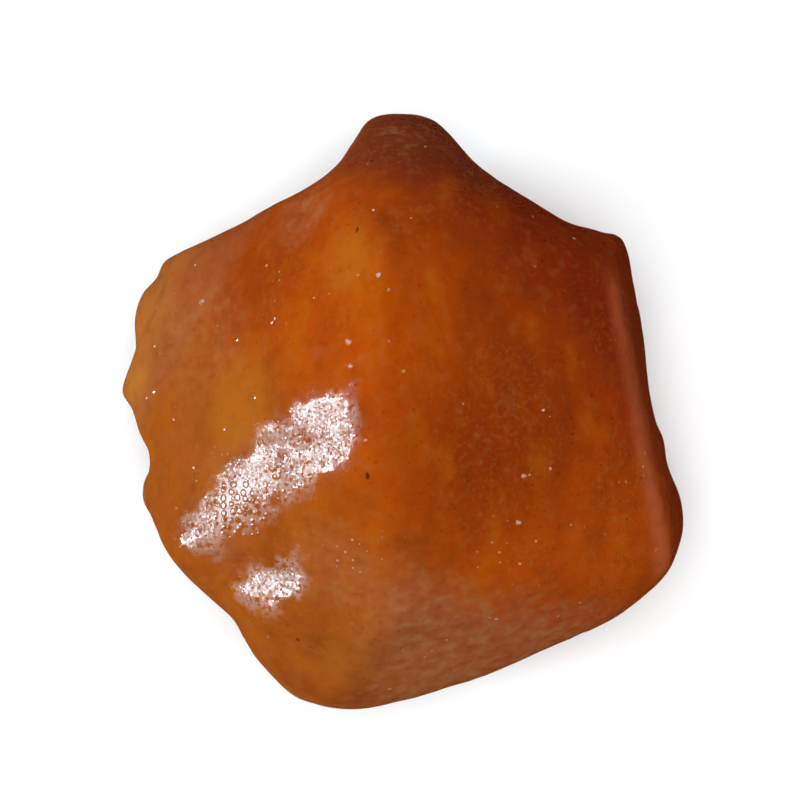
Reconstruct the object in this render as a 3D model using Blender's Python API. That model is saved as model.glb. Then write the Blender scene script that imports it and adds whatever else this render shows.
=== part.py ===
"""A piece of raw amber: one worn lump that lies on its flattest side.

The lump is a cube's grid of faces moved out to one closed surface. Seen from above
it follows OUTLINE. Over the girdle, its widest line, it rises to a roof of worn
facets that meet at a blunt peak. Under the girdle it closes on a keel of broken
facets with one flat that it rests on.

Lengths are millimetres throughout; only the finished mesh is turned into metres.
"""

import bmesh
import bpy
import numpy as np

NAME = "amber_piece"
METRES_PER_MM = 0.001
GRID_CUTS = 26                  # cuts along each edge of the starting cube

# The outline from above: bearing in degrees anticlockwise from +X, radius in mm.
OUTLINE = (
    # worn east edge, then the north-east corner
    (0, 20.4), (9, 20.0), (22, 20.7), (30, 21.5), (37, 22.6), (40, 22.7), (43, 21.7),
    # hollow shoulder, then the rounded nose and the second shoulder
    (50, 20.1), (60, 20.0), (67, 20.2), (74, 21.0), (80, 22.8), (84, 23.8), (90, 24.2),
    (96, 23.8), (100, 22.0), (104, 20.5), (110, 19.8), (120, 19.8), (130, 20.0),
    # north-west corner, with a small nick
    (139, 21.3), (146, 22.8), (150, 22.7), (154, 23.1), (159, 22.9),
    # west edge: a knob and a notch beside it
    (166, 22.0), (174, 22.5), (178, 21.4), (184, 20.4), (189, 20.0), (194, 21.2),
    (198, 21.5),
    # south-west edge, with a chipped step
    (206, 20.8), (222, 20.4), (230, 20.2), (235, 21.2), (241, 22.2), (248, 23.4),
    # broad south end and the long south-east edge
    (252, 23.5), (261, 23.1), (270, 22.2), (282, 21.5), (300, 21.5), (312, 22.6),
    # south-east corner
    (320, 23.6), (331, 24.5), (338, 24.5), (344, 23.5), (350, 21.8), (356, 21.1),
)

# Nicks and knobs belong to the rim. Away from it the lump follows the outline's
# average over this many degrees to either side.
BROAD_ARC = 14
BROAD_SAMPLES = 7               # bearings that the average is taken over

# The girdle's height over the resting flat, at bearings all the way round.
GIRDLE = (
    (0, 8.6), (40, 9.8), (90, 10.4), (130, 9.4), (160, 8.2), (200, 9.2), (245, 8.4),
    (290, 9.4), (335, 7.6),
)

# Worn faces of the roof: a point on the face, then its rise per mm east and north.
# The ridge from the peak to the nose parts the first three from the last two.
WEST_FACES = {
    "north_west": ((-4.2, 3.0, 26.2), (0.86, -0.20)),
    "west": ((-4.2, 3.0, 26.2), (0.62, 0.10)),
    "south_west": ((-3.5, -3.0, 26.4), (0.40, 0.50)),
}
EAST_FACES = {
    "east": ((-2.0, 0.0, 27.6), (-0.465, -0.045)),
    "south": ((-2.4, -3.2, 27.5), (-0.336, 0.38)),
}
WEST_WEAR = 0.5                 # how far wear rounds the folds between the west faces
EAST_WEAR = 1.2                 # the same between the east faces
RIDGE_WEAR = 0.7                # the same along the ridge

# Narrower faces that cut the roof's edges, given the same way.
EDGE_FACES = {
    "nose_end": ((-1.0, 16.6, 23.8), (0.05, -0.70)),
    "east_side": ((18.7, 1.6, 16.6), (-2.20, -0.42)),
    "south_roll": ((4.0, -14.2, 20.6), (-0.40, 1.08)),
    "north_east_bevel": ((15.6, 13.4, 17.0), (-0.90, -1.00)),
    "north_west_bevel": ((-16.8, 12.8, 13.8), (1.25, -0.90)),
}
EDGE_WEAR = 0.45

KEEL_FLOOR = -0.8               # the keel is cut through at zero, which leaves the flat
FLAT_SNAP = 0.15                # points this near the cut are moved onto it
CUT_TOLERANCE = 0.0015          # how exactly a point must lie in the cut to count as on it
KEEL_FACES = {                  # a point on the face, then its two slopes
    "under_nose": ((0.0, 9.5, 0.0), (0.05, 0.26)),
    "under_east": ((9.5, 2.0, 0.0), (0.40, 0.08)),
    "under_south_east": ((7.0, -11.0, 0.0), (0.20, -0.38)),
    "under_south_west": ((-8.0, -8.5, 0.0), (-0.34, -0.27)),
    "under_west": ((-9.5, 4.0, 0.0), (-0.38, 0.15)),
}
KEEL_WEAR = 0.6

# How squarely the roof turns down to the girdle, at bearings all the way round.
ROOF_POWER = (
    (0, 4.2), (45, 4.6), (90, 3.2), (135, 4.6), (165, 6.5), (210, 11.0), (235, 6.5),
    (270, 4.2), (320, 3.6),
)
KEEL_POWER = 3.1                # the same for the keel, all round

# Shell-shaped breaks: the middle of the rim (x, y, z), the rim's radius, the depth.
SCOOPS = (
    ((21.5, 13.5, 7.0), 6.5, 1.5),
    ((23.0, -2.5, 3.6), 6.0, 1.4),
    ((13.5, -18.5, 3.0), 7.5, 1.8),
    ((-5.0, -22.0, 3.0), 4.5, 1.0),
    ((-16.0, -14.5, 3.0), 6.0, 1.4),
    ((-21.0, -4.5, 6.5), 4.0, 1.0),
    ((-19.5, 9.5, 3.5), 8.0, 1.8),
    ((-9.5, 19.0, 6.0), 5.5, 1.4),
    ((10.0, 18.5, 5.5), 6.8, 1.6),
    ((1.5, 22.5, 3.0), 4.0, 0.8),
    ((6.0, 10.5, 0.5), 5.0, 0.9),
    ((-7.0, -12.5, 0.8), 4.5, 0.8),
)

# Steps where a flake came off: a point on the step's line, the direction of the lower
# side, how far it drops, and how far along the surface the step reaches.
LEDGES = (
    ((-13.5, -16.5, 9.0), (-0.92, 0.38, 0.10), 0.7, 6.5),
    ((-19.0, -2.0, 12.0), (-0.35, -0.85, 0.40), 0.6, 5.0),
    ((19.0, 6.0, 5.5), (0.25, 0.35, -0.90), 0.7, 8.0),
    ((3.0, -19.5, 6.0), (0.30, -0.10, -0.95), 0.7, 8.0),
    ((-12.0, 14.0, 7.0), (0.50, 0.30, -0.81), 0.6, 7.0),
    ((4.0, 13.0, 2.0), (0.85, 0.50, -0.17), 0.6, 7.0),
)
LEDGE_SOFTNESS = 0.45           # how far the drop is spread

# Low swellings and pits of the roof: place (x, y), reach, height; a pit is negative.
SWELLS = (
    ((-12.0, 8.0), 5.0, -0.35),
    ((-17.2, -10.2), 3.2, 1.10),
    ((-10.5, -1.0), 3.0, 0.30),
    ((-9.0, -8.3), 2.2, -0.30),
    ((-7.6, -15.2), 3.8, 1.60),
    ((-4.0, -12.0), 3.0, -0.25),
    ((9.5, -10.5), 4.2, 0.30),
    ((12.5, 5.5), 5.0, -0.35),
    ((6.5, 12.5), 3.5, -0.45),
    ((-7.5, 14.0), 3.4, -0.45),
    ((0.5, 20.5), 2.2, 0.35),
    ((15.5, -6.0), 3.0, 0.30),
    ((2.0, 3.5), 4.0, 0.25),
)

# Uneven growth: wavelength in mm, height in mm.
UNEVENNESS = ((9.0, 0.55), (4.2, 0.26))
UNEVENNESS_ON_ROOF = 0.45       # the worn roof shows less of it than the broken keel
UNEVENNESS_SEED = 11
GIRDLE_GUARD = 3.0              # within this height of the girdle the relief fades out
HEART = (0.0, 0.0, 10.5)        # relief is pushed in and out along lines from here


def around(table, bearing):
    """Read a table of (bearing, value) as a smooth closed curve through its points.

    Between two points the value is the cubic whose slope at each end is the slope of
    the line through that point's two neighbours.
    """
    knots, values = np.array(table, float).T
    knots = np.concatenate(([knots[-1] - 360], knots, knots[:2] + 360))
    values = np.concatenate(([values[-1]], values, values[:2]))
    slopes = np.zeros_like(values)
    slopes[1:-1] = (values[2:] - values[:-2]) / (knots[2:] - knots[:-2])
    degrees = np.degrees(bearing) % 360
    left = np.clip(np.searchsorted(knots, degrees, side="right") - 1, 1, len(knots) - 3)
    right = left + 1
    span = knots[right] - knots[left]
    t = (degrees - knots[left]) / span
    value_part = (2 * t**3 - 3 * t**2 + 1) * values[left] + (3 * t**2 - 2 * t**3) * values[right]
    slope_part = (t**3 - 2 * t**2 + t) * slopes[left] + (t**3 - t**2) * slopes[right]
    return value_part + slope_part * span


def broad_outline(bearing):
    """The outline without its nicks and knobs: its average over a short arc."""
    steps = np.radians(np.linspace(-BROAD_ARC, BROAD_ARC, BROAD_SAMPLES))
    return np.mean([around(OUTLINE, bearing + step) for step in steps], axis=0)


def plane(point, slopes, x, y):
    """Height over (x, y) of the plane through a point with the given two slopes."""
    return point[2] + slopes[0] * (x - point[0]) + slopes[1] * (y - point[1])


def worn_minimum(heights, wear):
    """The lowest of several heights, with the creases between them rounded by wear."""
    lowest = np.min(heights, axis=0)
    total = sum(np.exp((lowest - height) / wear) for height in heights)
    return lowest - wear * np.log(total)


def worn_faces(faces, wear, x, y):
    """Height over (x, y) under all of some faces, their folds rounded by wear."""
    return worn_minimum([plane(point, slopes, x, y) for point, slopes in faces.values()], wear)


def roof(x, y):
    """Height of the faceted roof over (x, y): the lowest face, plus bell-shaped swells."""
    west = worn_faces(WEST_FACES, WEST_WEAR, x, y)
    east = worn_faces(EAST_FACES, EAST_WEAR, x, y)
    edges = worn_faces(EDGE_FACES, EDGE_WEAR, x, y)
    height = worn_minimum([worn_minimum([west, east], RIDGE_WEAR), edges], EDGE_WEAR)
    for (swell_x, swell_y), reach, rise in SWELLS:
        height = height + rise * np.exp(-((x - swell_x) ** 2 + (y - swell_y) ** 2) / reach**2)
    return height


def keel(x, y):
    """Height of the faceted keel under (x, y)."""
    faces = [plane(point, slopes, x, y) for point, slopes in KEEL_FACES.values()]
    floor = np.full_like(x, KEEL_FLOOR)
    return -worn_minimum([-floor] + [-face for face in faces], KEEL_WEAR)


def random_field(points, wavelength, seed):
    """A smooth random value from -1 to 1 at each point.

    Random values on a lattice one wavelength apart, blended between the eight corners
    around a point with the weight 3t^2 - 2t^3 along each axis.
    """
    size = 16
    lattice = np.random.default_rng(seed).uniform(-1, 1, (size, size, size))
    cell, part = np.divmod(points / wavelength + size / 2, 1.0)
    cell = cell.astype(int)
    part = part * part * (3 - 2 * part)
    total = np.zeros(len(points))
    for corner in np.ndindex(2, 2, 2):
        weight = np.prod(np.where(np.array(corner) == 1, part, 1 - part), axis=1)
        i, j, k = ((cell + corner) % size).T
        total += weight * lattice[i, j, k]
    return total


def relief(points, is_roof):
    """How far each point moves out from the heart: uneven growth less the breaks."""
    growth = np.zeros(len(points))
    for number, (wavelength, height) in enumerate(UNEVENNESS):
        growth += height * random_field(points, wavelength, UNEVENNESS_SEED + number)
    growth *= np.where(is_roof, UNEVENNESS_ON_ROOF, 1.0)
    for middle, radius, depth in SCOOPS:
        distance = np.linalg.norm(points - middle, axis=1)
        growth -= depth * np.clip(1 - (distance / radius) ** 2, 0, None)
    for place, lower_side, drop, length in LEDGES:
        offset = points - place
        past = (offset @ np.array(lower_side)) / LEDGE_SOFTNESS
        nearness = np.exp(-np.sum(offset**2, axis=1) / length**2)
        growth -= drop * nearness / (1 + np.exp(-np.clip(past, -40, 40)))
    return growth


def lump(directions):
    """Carry directions from the heart out to the surface of the lump.

    A direction's bearing picks the outline's radius and the girdle's height. Its
    steepness runs along a superellipse, (reach)^p + (rise)^p = 1, from the girdle,
    reach 1 and rise 0, up to the roof or down to the keel, reach 0 and rise 1.
    """
    dx, dy, dz = directions.T
    bearing = np.arctan2(dy, dx)
    level = np.hypot(dx, dy)
    is_roof = dz >= 0
    power = np.where(is_roof, around(ROOF_POWER, bearing), KEEL_POWER)
    length = (level**power + np.abs(dz) ** power) ** (1 / power)
    rise = np.abs(dz) / length
    broad = broad_outline(bearing)
    radius = broad + (around(OUTLINE, bearing) - broad) * (1 - rise**2)
    reach = level / length * radius
    x = reach * np.cos(bearing)
    y = reach * np.sin(bearing)
    girdle = around(GIRDLE, bearing)
    z = girdle + rise * (np.where(is_roof, roof(x, y), keel(x, y)) - girdle)
    points = np.column_stack((x, y, z))

    guard = np.clip(np.abs(z - girdle) / GIRDLE_GUARD, 0, 1)
    guard = guard * guard * (3 - 2 * guard)
    outward = points - HEART
    outward /= np.linalg.norm(outward, axis=1)[:, None]
    return points + outward * (relief(points, is_roof) * guard)[:, None]


def grid_directions(mesh):
    """Unit directions to a cube's grid points, spread evenly by taking tangents."""
    corners = np.array([vertex.co for vertex in mesh.verts])
    spread = np.tan(corners * np.pi / 4)
    return spread / np.linalg.norm(spread, axis=1)[:, None]


def amber_material():
    """Wet-looking orange-brown resin."""
    material = bpy.data.materials.new("amber")
    material.use_nodes = True
    shader = material.node_tree.nodes["Principled BSDF"]
    shader.inputs["Base Color"].default_value = (0.40, 0.09, 0.012, 1.0)
    shader.inputs["Roughness"].default_value = 0.25
    shader.inputs["Metallic"].default_value = 0.0
    material.diffuse_color = (0.40, 0.09, 0.012, 1.0)
    return material


def cut_flat(grid):
    """Cut the lump through at z = 0, drop what is below and close it with one flat."""
    whole = grid.verts[:] + grid.edges[:] + grid.faces[:]
    bmesh.ops.bisect_plane(
        grid, geom=whole, dist=CUT_TOLERANCE * METRES_PER_MM,
        plane_co=(0, 0, 0), plane_no=(0, 0, 1), clear_inner=True,
    )
    bmesh.ops.holes_fill(grid, edges=[edge for edge in grid.edges if edge.is_boundary])


def amber_piece():
    """Make the lump and stand it on its flat, with the middle of its box at X = Y = 0."""
    grid = bmesh.new()
    bmesh.ops.create_cube(grid, size=2.0)
    bmesh.ops.subdivide_edges(grid, edges=grid.edges[:], cuts=GRID_CUTS, use_grid_fill=True)
    points = lump(grid_directions(grid))
    middle = (points.min(axis=0) + points.max(axis=0)) / 2
    points[:, :2] -= middle[:2]
    points[np.abs(points[:, 2]) < FLAT_SNAP, 2] = 0
    for vertex, point in zip(grid.verts, points * METRES_PER_MM):
        vertex.co = point
    cut_flat(grid)
    bmesh.ops.triangulate(grid, faces=grid.faces[:], quad_method="SHORT_EDGE")
    bmesh.ops.recalc_face_normals(grid, faces=grid.faces[:])

    mesh = bpy.data.meshes.new(NAME)
    grid.to_mesh(mesh)
    grid.free()
    mesh.shade_smooth()
    mesh.materials.append(amber_material())
    piece = bpy.data.objects.new(NAME, mesh)
    collection = bpy.data.collections.new("raw_amber")
    bpy.context.scene.collection.children.link(collection)
    collection.objects.link(piece)
    return piece


def main():
    for thing in list(bpy.data.objects):
        bpy.data.objects.remove(thing, do_unlink=True)
    amber_piece()


main()
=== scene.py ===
"""Raw amber piece: the finished look of a worn lump of amber on a studio floor.

The lump is one closed surface, worked out from the same faces, outline and breaks as
the solid it stands for, with the fine relief that the solid leaves out. Its material
is see-through resin: clear at heart, clouded and coloured by its crust, with some
light, shade and glints painted into its colour. The studio is a pale floor and
backdrop, a small window lamp that the gloss mirrors, a wide soft lamp overhead that
it doesn't, and a dim warm glow for the steep sides to mirror.

Lengths are millimetres in the tables and functions below, and metres in the scene.
"""

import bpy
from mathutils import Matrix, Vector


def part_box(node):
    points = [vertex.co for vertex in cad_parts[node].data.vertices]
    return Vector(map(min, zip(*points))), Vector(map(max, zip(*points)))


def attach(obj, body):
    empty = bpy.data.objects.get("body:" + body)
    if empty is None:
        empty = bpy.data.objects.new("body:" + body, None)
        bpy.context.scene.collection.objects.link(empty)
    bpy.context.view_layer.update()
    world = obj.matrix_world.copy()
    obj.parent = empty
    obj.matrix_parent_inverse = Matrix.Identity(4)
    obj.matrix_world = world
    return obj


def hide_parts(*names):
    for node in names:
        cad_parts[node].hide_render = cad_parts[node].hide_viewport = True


bl_info = {
    "name": "Raw Amber Piece",
    "version": (1, 0, 0),
    "blender": (4, 5, 0),
    "location": "3D View > Sidebar > Amber",
    "description": "Makes a worn lump of raw amber and the plain studio it lies in",
    "category": "Add Mesh",
}

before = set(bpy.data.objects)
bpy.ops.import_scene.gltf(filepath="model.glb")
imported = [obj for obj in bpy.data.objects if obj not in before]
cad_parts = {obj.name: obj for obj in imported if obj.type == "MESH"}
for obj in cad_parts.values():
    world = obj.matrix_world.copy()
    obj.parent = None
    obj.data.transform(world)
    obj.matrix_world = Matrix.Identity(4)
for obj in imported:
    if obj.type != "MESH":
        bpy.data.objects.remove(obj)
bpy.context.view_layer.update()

import math

import bpy
import numpy as np
from bpy.props import FloatProperty, FloatVectorProperty, IntProperty, PointerProperty
from mathutils import Vector

NODE = "amber_piece"
MM = 0.001

# ---------------------------------------------------------------- the lump's form

# The outline from above: bearing in degrees anticlockwise from +X, radius in mm.
OUTLINE = (
    # worn east edge, then the north-east corner
    (0, 20.4), (9, 20.0), (22, 20.7), (30, 21.5), (37, 22.6), (40, 22.7), (43, 21.7),
    # hollow shoulder, then the rounded nose and the second shoulder
    (50, 20.1), (60, 20.0), (67, 20.2), (74, 21.0), (80, 22.8), (84, 23.8), (90, 24.2),
    (96, 23.8), (100, 22.0), (104, 20.5), (110, 19.8), (120, 19.8), (130, 20.0),
    # north-west corner, with a small nick
    (139, 21.3), (146, 22.8), (150, 22.7), (154, 23.1), (159, 22.9),
    # west edge: a knob and a notch beside it
    (166, 22.0), (174, 22.5), (178, 21.4), (184, 20.4), (189, 20.0), (194, 21.2),
    (198, 21.5),
    # south-west edge, with a chipped step
    (206, 20.8), (222, 20.4), (230, 20.2), (235, 21.2), (241, 22.2), (248, 23.4),
    # broad south end and the long south-east edge
    (252, 23.5), (261, 23.1), (270, 22.2), (282, 21.5), (300, 21.5), (312, 22.6),
    # south-east corner
    (320, 23.6), (331, 24.5), (338, 24.5), (344, 23.5), (350, 21.8), (356, 21.1),
)

# Nicks and knobs belong to the rim. Away from it the lump follows the outline's
# average over this many degrees to either side.
BROAD_ARC = 14
BROAD_SAMPLES = 7               # bearings that the average is taken over

# The girdle's height over the resting flat, at bearings all the way round.
GIRDLE = (
    (0, 8.6), (40, 9.8), (90, 10.4), (130, 9.4), (160, 8.2), (200, 9.2), (245, 8.4),
    (290, 9.4), (335, 7.6),
)

# Worn faces of the roof: a point on the face, then its rise per mm east and north.
# The ridge from the peak to the nose parts the first three from the last two.
WEST_FACES = {
    "north_west": ((-4.2, 3.0, 26.2), (0.86, -0.20)),
    "west": ((-4.2, 3.0, 26.2), (0.62, 0.10)),
    "south_west": ((-3.5, -3.0, 26.4), (0.40, 0.50)),
}
EAST_FACES = {
    "east": ((-2.0, 0.0, 27.6), (-0.465, -0.045)),
    "south": ((-2.4, -3.2, 27.5), (-0.336, 0.38)),
}
WEST_WEAR = 0.5                 # how far wear rounds the folds between the west faces
EAST_WEAR = 1.2                 # the same between the east faces
RIDGE_WEAR = 0.7                # the same along the ridge

# Narrower faces that cut the roof's edges, given the same way.
EDGE_FACES = {
    "nose_end": ((-1.0, 16.6, 23.8), (0.05, -0.70)),
    "east_side": ((18.7, 1.6, 16.6), (-2.20, -0.42)),
    "south_roll": ((4.0, -14.2, 20.6), (-0.40, 1.08)),
    "north_east_bevel": ((15.6, 13.4, 17.0), (-0.90, -1.00)),
    "north_west_bevel": ((-16.8, 12.8, 13.8), (1.25, -0.90)),
}
EDGE_WEAR = 0.45

KEEL_FLOOR = -0.8               # the keel is cut through at zero, which leaves the flat
KEEL_FACES = {                  # a point on the face, then its two slopes
    "under_nose": ((0.0, 9.5, 0.0), (0.05, 0.26)),
    "under_east": ((9.5, 2.0, 0.0), (0.40, 0.08)),
    "under_south_east": ((7.0, -11.0, 0.0), (0.20, -0.38)),
    "under_south_west": ((-8.0, -8.5, 0.0), (-0.34, -0.27)),
    "under_west": ((-9.5, 4.0, 0.0), (-0.38, 0.15)),
}
KEEL_WEAR = 0.6

# How squarely the roof turns down to the girdle, at bearings all the way round.
ROOF_POWER = (
    (0, 4.2), (45, 4.6), (90, 3.2), (135, 4.6), (165, 6.5), (210, 11.0), (235, 6.5),
    (270, 4.2), (320, 3.6),
)
KEEL_POWER = 3.1                # the same for the keel, all round

# Shell-shaped breaks: the middle of the rim (x, y, z), the rim's radius, the depth.
SCOOPS = (
    ((21.5, 13.5, 7.0), 6.5, 1.5),
    ((23.0, -2.5, 3.6), 6.0, 1.4),
    ((13.5, -18.5, 3.0), 7.5, 1.8),
    ((-5.0, -22.0, 3.0), 4.5, 1.0),
    ((-16.0, -14.5, 3.0), 6.0, 1.4),
    ((-21.0, -4.5, 6.5), 4.0, 1.0),
    ((-19.5, 9.5, 3.5), 8.0, 1.8),
    ((-9.5, 19.0, 6.0), 5.5, 1.4),
    ((10.0, 18.5, 5.5), 6.8, 1.6),
    ((1.5, 22.5, 3.0), 4.0, 0.8),
    ((6.0, 10.5, 0.5), 5.0, 0.9),
    ((-7.0, -12.5, 0.8), 4.5, 0.8),
)

# Steps where a flake came off: a point on the step's line, the direction of the lower
# side, how far it drops, and how far along the surface the step reaches.
LEDGES = (
    ((-13.5, -16.5, 9.0), (-0.92, 0.38, 0.10), 0.7, 6.5),
    ((-19.0, -2.0, 12.0), (-0.35, -0.85, 0.40), 0.6, 5.0),
    ((19.0, 6.0, 5.5), (0.25, 0.35, -0.90), 0.7, 8.0),
    ((3.0, -19.5, 6.0), (0.30, -0.10, -0.95), 0.7, 8.0),
    ((-12.0, 14.0, 7.0), (0.50, 0.30, -0.81), 0.6, 7.0),
    ((4.0, 13.0, 2.0), (0.85, 0.50, -0.17), 0.6, 7.0),
)
LEDGE_SOFTNESS = 0.45           # how far the drop is spread

# Low swellings and pits of the roof: place (x, y), reach, height; a pit is negative.
SWELLS = (
    ((-12.0, 8.0), 5.0, -0.35),
    ((-17.2, -10.2), 3.2, 1.10),
    ((-10.5, -1.0), 3.0, 0.30),
    ((-9.0, -8.3), 2.2, -0.30),
    ((-7.6, -15.2), 3.8, 1.60),
    ((-4.0, -12.0), 3.0, -0.25),
    ((9.5, -10.5), 4.2, 0.30),
    ((12.5, 5.5), 5.0, -0.35),
    ((6.5, 12.5), 3.5, -0.45),
    ((-7.5, 14.0), 3.4, -0.45),
    ((0.5, 20.5), 2.2, 0.35),
    ((15.5, -6.0), 3.0, 0.30),
    ((2.0, 3.5), 4.0, 0.25),
)

# Uneven growth: wavelength in mm, height in mm.
UNEVENNESS = ((9.0, 0.55), (4.2, 0.26))
UNEVENNESS_ON_ROOF = 0.45       # the worn roof shows less of it than the broken keel
UNEVENNESS_SEED = 11
LATTICE_SIZE = 16               # random values along each side before they repeat
STEEPEST_STEP = 40              # a ledge's drop is worked out no further than this
GIRDLE_GUARD = 3.0              # within this height of the girdle the relief fades out
HEART = (0.0, 0.0, 10.5)        # relief is pushed in and out along lines from here

# ------------------------------------------------------ the relief on top of the form

FINE_UNEVENNESS = ((2.1, 0.050), (1.1, 0.026))
FINE_ON_KEEL = 2.4              # the broken keel is this much rougher than the roof
RIPPLE_LENGTH = 1.3             # from one ripple in a shell-shaped break to the next
RIPPLE_HEIGHT = 0.07
PIT_COUNT = 300
PIT_RADIUS = (0.35, 1.0)
PIT_DEPTH = (0.04, 0.14)
PIT_SEED = 29
FINE_AT_GIRDLE = 0.25           # share of the fine relief that stays at the girdle
FLAT_SOFTNESS = 0.06            # how sharply the keel turns into the flat

# Low folds: their middle, the direction across them, wavelength, height and reach.
FOLDS = (
    ((-11.1, -12.7, 19.0), (0.08, -1.0, 0.0), 7.5, 0.80, 3.1),
    ((-7.6, -11.4, 21.3), (0.97, -0.24, 0.0), 4.6, 0.24, 2.3),
    ((-11.0, -13.1, 19.0), (-0.25, 0.97, 0.0), 3.0, 0.09, 3.0),
    ((-11.0, -13.2, 18.9), (-0.2, 0.98, 0.0), 1.4, 0.05, 1.4),
    ((-6.6, 0.9, 24.8), (0.0, 1.0, 0.0), 6.0, 0.12, 2.8),
)

# Single deeper pocks: place, radius and depth.
POCKS = (
    ((-15.7, 8.3, 16.0), 0.8, 0.24), ((-14.6, 9.7, 16.5), 0.7, 0.22),
    ((-1.7, 10.3, 23.5), 0.7, 0.22), ((-1.9, 9.0, 24.2), 0.6, 0.18),
    ((-3.5, 5.6, 25.2), 0.5, 0.14), ((-3.9, 3.8, 25.8), 0.45, 0.10),
    ((-14.8, 5.2, 18.0), 0.5, 0.16), ((-11.9, 4.4, 20.5), 0.5, 0.15),
)

# ------------------------------------------------------------ patches of the finish

# Each is a place in mm from the middle of the flat, a radius and a strength.
HAZE_PATCHES = (                # pale cloud, partly a painted veil of reflection
    ((-16.5, 6.0, 16.0), 7.0, 0.30),
    ((-6.7, -22.4, 9.0), 4.5, 0.70),
    ((-12.5, -9.8, 17.5), 3.2, 0.60),
    ((14.6, -13.2, 10.5), 4.6, 0.60),
    ((9.0, -13.0, 15.0), 4.0, 0.25),
    ((-7.0, -21.0, 9.0), 6.0, 0.25),
    ((-5.0, -10.5, 20.5), 5.0, 0.40),
    ((0.0, 21.0, 17.0), 3.5, 0.50),
    ((-7.5, 14.5, 18.0), 3.6, 0.50),
)
YELLOW_PATCHES = (              # painted glow of light shining through the resin
    ((-2.5, 10.5, 22.5), 4.5, 0.35),
    ((-20.8, 2.0, 11.0), 2.6, 0.60),
    ((-12.0, 0.5, 20.0), 5.0, 0.30),
    ((-8.0, -17.0, 13.0), 4.0, 0.30),
    ((-4.5, -17.0, 16.0), 5.0, 0.25),
)
DEEP_PATCHES = (                # thick, dark resin
    ((-11.6, 11.5, 18.5), 8.0, 0.40),
    ((6.5, -2.0, 22.0), 10.0, 0.58),
)
PIMPLE_PATCHES = (              # rows of round pimples
    ((-12.0, -7.3, 20.0), 3.2, 1.0),
    ((-9.2, -5.2, 22.0), 1.6, 1.0),
)
FROST_PATCHES = (               # worn skin of tiny pits, flakes and beads, paler partly as a painted highlight
    ((-14.6, -8.6, 18.5), 3.0, 1.0),
    ((-12.0, -6.2, 20.5), 3.6, 1.0),
    ((-8.8, -3.4, 22.8), 4.2, 1.0),
    ((-5.6, -1.2, 25.0), 4.0, 1.0),
    ((-11.0, -13.2, 19.2), 2.8, 1.0),
    ((-8.5, -12.2, 21.0), 2.4, 1.0),
)
SPARKLE_PATCHES = (             # scattered painted sparkles of the window's reflection
    ((-2.5, -10.0, 21.5), 4.2, 0.60),
    ((6.4, -10.0, 20.0), 4.2, 0.50),
)

# Painted glints, pale spots seen from above wherever their height: place, radius, strength.
GLINTS = (
    ((8.8, -4.6, 0.0), 0.22, 0.9),
    ((8.4, -8.1, 0.0), 0.22, 0.9),
    ((-1.8, 9.8, 0.0), 0.20, 0.9),
    ((-3.9, 5.0, 0.0), 0.24, 0.9),
    ((-3.8, 3.3, 0.0), 0.20, 0.9),
    ((-15.5, 8.5, 0.0), 0.24, 0.9),
)

# Sizes of the finish's patterns, in mm.
BROAD_SIZE = 9.0                # slow drift of every colour
WISP_SIZE = 3.2
CLOUD_SIZE = 1.1
FIBRE_SIZE = 0.60
GRAIN_SIZE = 0.36
WAVE_SIZE = 1.5                 # low waves of the polished skin
STROKE_SPACING = 2.3            # of the cells that may hold a dark stroke
PIMPLE_SPACING = 0.54           # of the cells that may hold a pimple or a speck
GRIT_SPACING = 0.18             # of the flakes and beads of frosted skin

# The worn eastern edge is the line x + 0.19 y = 17.9. A painted highlight runs along it, and
# painted shade lies east of it.
EDGE_LEAN = 0.19
EDGE_EAST = 17.9

# The bevel of the north-west rim sets in between these distances along (x, y).
BEVEL_DIRECTION = (-0.856, 0.517)
BEVEL_RANGE = (16.2, 17.6)

# How far red, green and blue light scatter in the resin, in metres.
SCATTER_DEPTH = 0.0025
SCATTER_SHARES = (1.0, 0.38, 0.12)

# ---------------------------------------------------------------------- the studio

# The backdrop's outline: distance from the middle and height, in metres.
BACKDROP = (
    (0.27, 0.0), (0.45, 0.005), (0.65, 0.06), (0.80, 0.28), (0.82, 0.60), (0.55, 1.00),
    (0.0, 1.15),
)
BACKDROP_SIDES = 64
FLOOR_DROP = 0.00005            # the floor lies this far below the amber, in metres

WINDOW_TARGET = (-0.008, 0.0, 0.020)    # the place that the window lamp faces
WINDOW_DISTANCE = 0.30
WINDOW_SIZE = (0.068, 0.098)
WINDOW_COLOR = (0.80, 0.93, 1.0)
OVERHEAD_PLACE = (0.0, 0.0, 0.9)
OVERHEAD_SIZE = (0.9, 0.9)
OVERHEAD_POWER = 12.0
OVERHEAD_COLOR = (1.0, 1.0, 1.0)

# Where the glow gives way, as parts of a direction of length 1.
GLOW_WEST_TO_EAST = (-0.25, 0.25)
GLOW_TO_AIR = (-0.15, 0.05)

SENSOR_WIDTH = 36.0             # of the camera, in mm
NEAREST_SEEN = 0.005            # the camera sees nothing closer than this, in metres


def around(table, bearing):
    """Read a table of (bearing, value) as a smooth closed curve through its points.

    Between two points the value is the cubic whose slope at each end is the slope of
    the line through that point's two neighbours.
    """
    knots, values = np.array(table, float).T
    knots = np.concatenate(([knots[-1] - 360], knots, knots[:2] + 360))
    values = np.concatenate(([values[-1]], values, values[:2]))
    slopes = np.zeros_like(values)
    slopes[1:-1] = (values[2:] - values[:-2]) / (knots[2:] - knots[:-2])
    degrees = np.degrees(bearing) % 360
    left = np.clip(np.searchsorted(knots, degrees, side="right") - 1, 1, len(knots) - 3)
    right = left + 1
    span = knots[right] - knots[left]
    t = (degrees - knots[left]) / span
    value_part = (2 * t**3 - 3 * t**2 + 1) * values[left] + (3 * t**2 - 2 * t**3) * values[right]
    slope_part = (t**3 - 2 * t**2 + t) * slopes[left] + (t**3 - t**2) * slopes[right]
    return value_part + slope_part * span


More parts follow.
